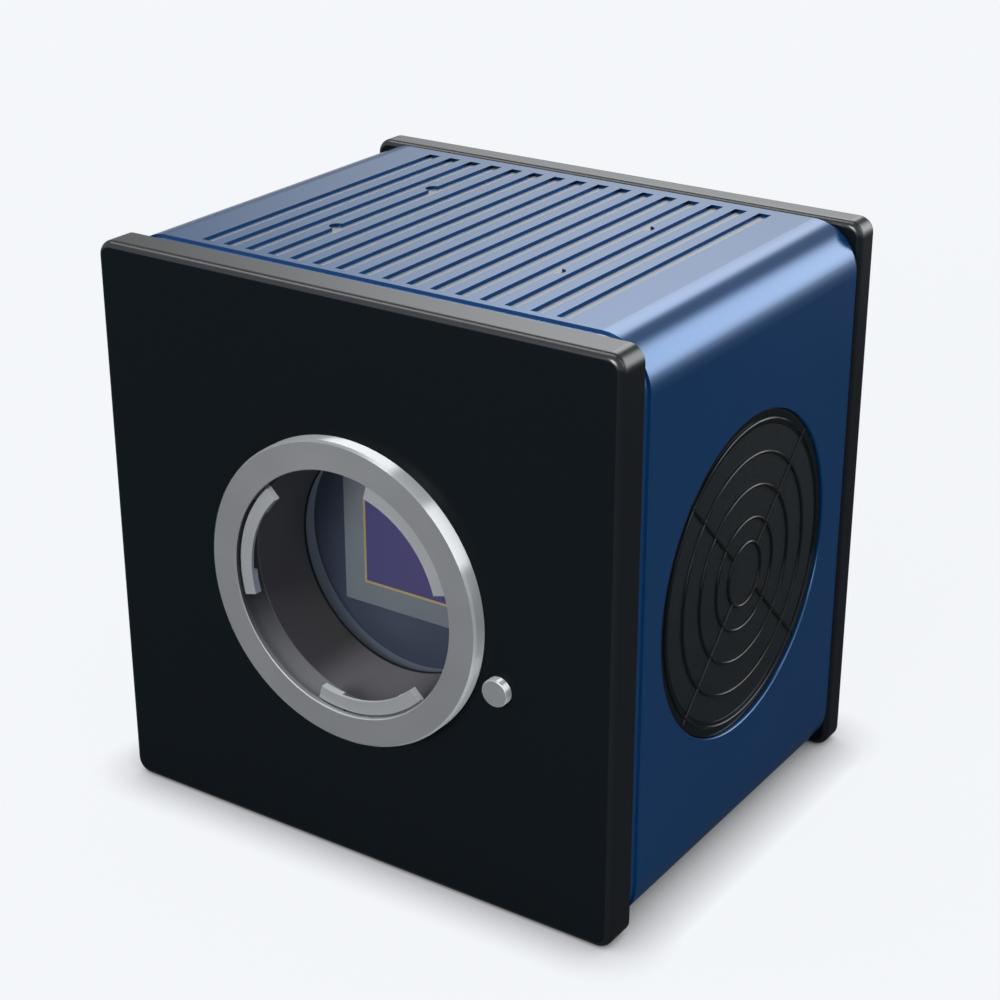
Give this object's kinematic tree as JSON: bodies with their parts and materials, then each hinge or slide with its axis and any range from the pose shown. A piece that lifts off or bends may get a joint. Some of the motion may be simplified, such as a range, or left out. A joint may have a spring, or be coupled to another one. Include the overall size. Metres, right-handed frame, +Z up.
{
  "type": "high-speed camera",
  "caption": "Cube-shaped high-speed camera body with a bayonet lens mount, release button, slotted blue sleeve, round side vents with a fan, rear sockets and a tripod thread.",
  "frame": {"origin": "mouth of the tripod thread in the middle of the base", "axes": "+X to the right seen from the front, +Y from the lens into the body, +Z up"},
  "size_m": [0.1106, 0.0942, 0.1103],
  "materials": {
    "black_anodised": "satin",
    "blue_anodised": "satin",
    "bare_aluminium": "machined",
    "mount_metal": "satin",
    "baffle_black": "matte",
    "seal_rubber": "matte",
    "carrier_navy": "satin",
    "package_grey": "matte",
    "seal_gold": "satin",
    "window_purple": "coated",
    "silicon": "gloss",
    "board_green": "satin",
    "black_plastic": "matte",
    "steel": "plain",
    "guard_black": "satin",
    "filter_black": "matte",
    "contact_brass": "plain",
    "lamp_clear": "gloss"
  },
  "bodies": {
    "camera": {"back_plate": "black_anodised", "back_screws": "steel", "bayonet_tabs": "mount_metal", "board_connectors": "black_plastic", "board_screws": "steel", "board_spacers": "steel", "board_standoffs": "steel", "button_plug": "steel", "carrier_posts": "steel", "fan_filter": "filter_black", "fan_frame": "black_plastic", "fan_guard": "guard_black", "fan_screws": "steel", "front_plate": "black_anodised", "heat_bridge": "bare_aluminium", "heat_spreader": "bare_aluminium", "housing_sleeve": "blue_anodised", "lens_mount_ring": "mount_metal", "main_board": "board_green", "mount_ring_screws": "steel", "network_contacts": "contact_brass", "network_socket": "black_plastic", "outlet_filter": "filter_black", "outlet_guard": "guard_black", "power_pins": "contact_brass", "power_socket": "steel", "power_spring": "steel", "processor": "black_plastic", "release_spring": "steel", "riser_board": "board_green", "seal_frame": "seal_gold", "sensor_board": "board_green", "sensor_carrier": "carrier_navy", "sensor_die": "silicon", "sensor_package": "package_grey", "sensor_window": "window_purple", "socket_board": "board_green", "socket_standoffs": "steel", "status_light": "lamp_clear", "switch_body": "black_plastic", "throat_gasket": "seal_rubber", "throat_tube": "baffle_black", "tie_rods": "bare_aluminium", "trigger_pins": "contact_brass", "trigger_sockets": "steel", "tripod_insert": "steel", "tube_screws": "steel"},
    "release_button": {"release_button": "mount_metal"},
    "fan_rotor": {"fan_rotor": "black_plastic"},
    "power_button": {"power_button": "black_plastic"}
  },
  "joints": [
    {"name": "release_press", "type": "slide", "parent": "camera", "child": "release_button", "axis": [0, 1, 0], "range_m": [0, 0.0012], "stiffness_N_per_m": 300, "springref_m": -0.001, "deforming": ["release_spring"]},
    {"name": "fan_spin", "type": "hinge", "parent": "camera", "child": "fan_rotor", "pos_m": [0.0472, 0, 0.055], "axis": [1, 0, 0], "continuous": true},
    {"name": "power_press", "type": "slide", "parent": "camera", "child": "power_button", "axis": [0, -1, 0], "range_m": [0, 0.001], "stiffness_N_per_m": 300, "springref_m": -0.001, "deforming": ["power_spring"]}
  ]
}
